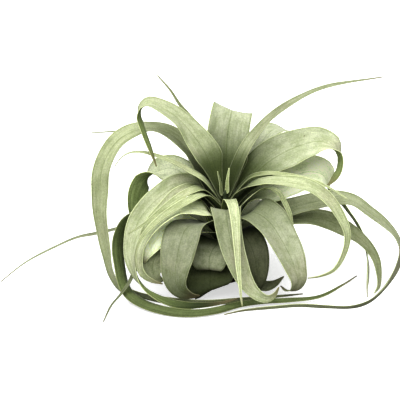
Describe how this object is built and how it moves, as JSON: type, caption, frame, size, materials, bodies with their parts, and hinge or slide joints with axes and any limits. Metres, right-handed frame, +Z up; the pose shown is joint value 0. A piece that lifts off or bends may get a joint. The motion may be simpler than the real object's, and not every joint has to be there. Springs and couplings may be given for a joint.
{
  "type": "air plant",
  "caption": "Free-standing air plant: broad silvery ribbon leaves rise from a short stem, arch over, curl down and trail along the floor.",
  "frame": {"origin": "on the floor under the axis of the stem, in the middle of the stem's flat foot", "axes": "+Z up along the stem; -Y towards the front of the plant, +X to the right seen from the front"},
  "size_m": [0.4042, 0.2413, 0.2017],
  "materials": {
    "stem": "dry, dark brown, rough",
    "old_leaf": "dull silvery sage green with fine pale scales",
    "leaf": "silvery sage green with fine pale scales and bright edges",
    "young_leaf": "pale yellow-green with bright edges"
  },
  "bodies": {
    "root": {"stem": "stem", "leaf_low_front_dark": "old_leaf", "leaf_spike_front_left": "old_leaf", "leaf_far_left_tail": "old_leaf", "leaf_front_right_dark": "old_leaf", "leaf_back_right_floor": "old_leaf", "leaf_dark_left_curl": "old_leaf", "leaf_back_left_floor": "old_leaf", "leaf_right_under_loop": "old_leaf", "leaf_inner_front_low": "old_leaf", "leaf_left_floor_sweep": "old_leaf", "leaf_right_big_loop": "old_leaf", "leaf_back_floor": "old_leaf", "leaf_inner_front_right": "old_leaf", "leaf_pale_left_inner": "old_leaf", "leaf_left_thread": "old_leaf", "leaf_front_left_fall": "leaf", "leaf_upper_left_thread": "leaf", "leaf_left_grey_face": "leaf", "leaf_front_right_fall": "leaf", "leaf_left_front_band": "leaf", "leaf_right_behind_curl": "leaf", "leaf_front_fall": "leaf", "leaf_left_outer_arc": "leaf", "leaf_back_right_crest": "leaf", "leaf_right_strip": "leaf", "leaf_front_narrow": "leaf", "leaf_left_second_arc": "leaf", "leaf_right_wide_curl": "leaf", "leaf_far_left_loop": "leaf", "leaf_left_lower_ribbon": "young_leaf", "leaf_back_centre": "leaf", "leaf_left_upper_ribbon": "young_leaf", "leaf_right_inner_loop": "young_leaf", "leaf_left_rising": "young_leaf", "leaf_right_narrow": "young_leaf", "leaf_upper_left_arch": "leaf", "leaf_upper_right_sweep": "young_leaf", "leaf_heart_left": "young_leaf", "leaf_heart_tip": "young_leaf"}
  },
  "joints": []
}
